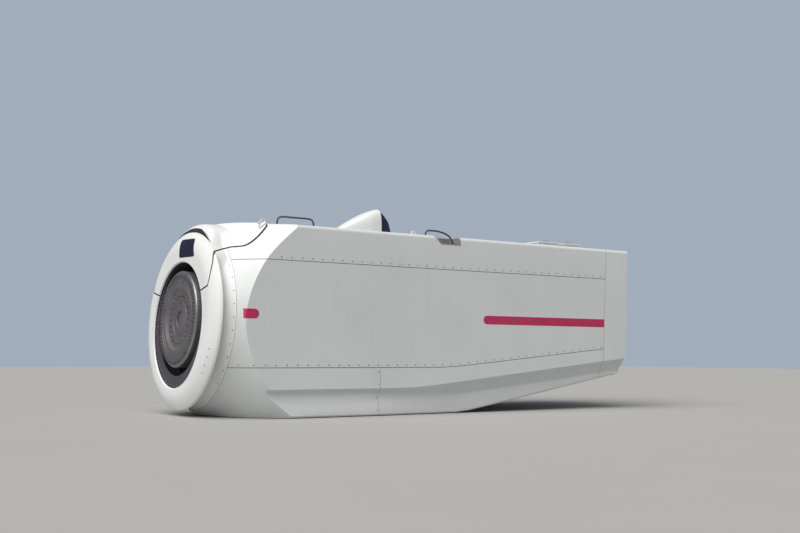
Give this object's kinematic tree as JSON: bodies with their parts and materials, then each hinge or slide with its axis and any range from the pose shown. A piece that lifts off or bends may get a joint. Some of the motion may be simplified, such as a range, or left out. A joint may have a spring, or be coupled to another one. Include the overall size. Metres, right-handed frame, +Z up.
{
  "type": "wind turbine nacelle",
  "caption": "Long white wind turbine nacelle: box body with round nose collar, rotor flange on a turning shaft, roof vent, lugs, rails and hinged roof hatches.",
  "frame": {"origin": "on the ground plane, under the middle of the nacelle's bounding box", "axes": "+Z up, -X to the nose and rotor, +X to the tail, -Y the left side that the picture shows"},
  "size_m": [11.7346, 4.2, 4.68],
  "materials": {
    "white_gelcoat": "white gelcoat on glass fibre laminate, satin, dusty from transport",
    "nose_gelcoat": "white gelcoat on glass fibre laminate, smooth satin",
    "dark_grille": "dark matt paint",
    "galvanised_steel": "dull galvanised",
    "tray_lining": "grey anti-slip coating",
    "rail_paint": "dark grey satin paint",
    "lug_paint": "white satin paint, worn at the eye",
    "bare_steel": "machined steel with a thin film of preservative",
    "flange_steel": "dark machined face with protective coating",
    "casting_paint": "cast, matt grey primer",
    "seal_rubber": "matt"
  },
  "bodies": {
    "housing": {"nose_top_cover": "nose_gelcoat", "nose_left": "nose_gelcoat", "nose_right": "nose_gelcoat", "nose_lower": "nose_gelcoat", "roof_shell": "white_gelcoat", "side_left": "white_gelcoat", "side_right": "white_gelcoat", "lower_front_left": "white_gelcoat", "lower_front_right": "white_gelcoat", "lower_rear_left": "white_gelcoat", "lower_rear_right": "white_gelcoat", "floor_front": "white_gelcoat", "floor_ramp": "white_gelcoat", "tail_frame": "white_gelcoat", "tail_panel": "white_gelcoat", "tail_grille": "dark_grille", "inlet_grille": "dark_grille", "vent_hood": "nose_gelcoat", "vent_grille": "dark_grille", "rear_hatch_front_frame": "white_gelcoat", "rear_hatch_front_hinge": "galvanised_steel", "rear_hatch_back_frame": "white_gelcoat", "rear_hatch_back_hinge": "galvanised_steel", "roof_tray_left": "tray_lining", "roof_tray_right": "tray_lining", "tray_rail_left": "rail_paint", "tray_rail_right": "rail_paint", "front_rail_left": "rail_paint", "front_rail_right": "rail_paint", "front_hatch_cover": "white_gelcoat", "lifting_lug_front_left": "lug_paint", "lifting_lug_front_right": "lug_paint", "lifting_lug_rear_left": "lug_paint", "lifting_lug_rear_right": "lug_paint", "yaw_ring": "bare_steel", "bedplate": "casting_paint", "bearing_housing": "casting_paint", "nose_seal_ring": "seal_rubber"},
    "rotor": {"main_shaft": "bare_steel", "rotor_flange": "flange_steel"},
    "front_lid": {"rear_hatch_front_lid": "white_gelcoat"},
    "back_lid": {"rear_hatch_back_lid": "white_gelcoat"}
  },
  "joints": [
    {"name": "rotor_turn", "type": "hinge", "parent": "housing", "child": "rotor", "pos_m": [-5.63638, 0, 2.09], "axis": [0.9986, 0, -0.0523], "continuous": true},
    {"name": "front_lid_hinge", "type": "hinge", "parent": "housing", "child": "front_lid", "pos_m": [3.56112, -0.92, 4.21736], "axis": [-1, 0, 0], "range_deg": [0, 100]},
    {"name": "back_lid_hinge", "type": "hinge", "parent": "housing", "child": "back_lid", "pos_m": [4.35862, -0.92, 4.21736], "axis": [-1, 0, 0], "range_deg": [0, 100]}
  ]
}
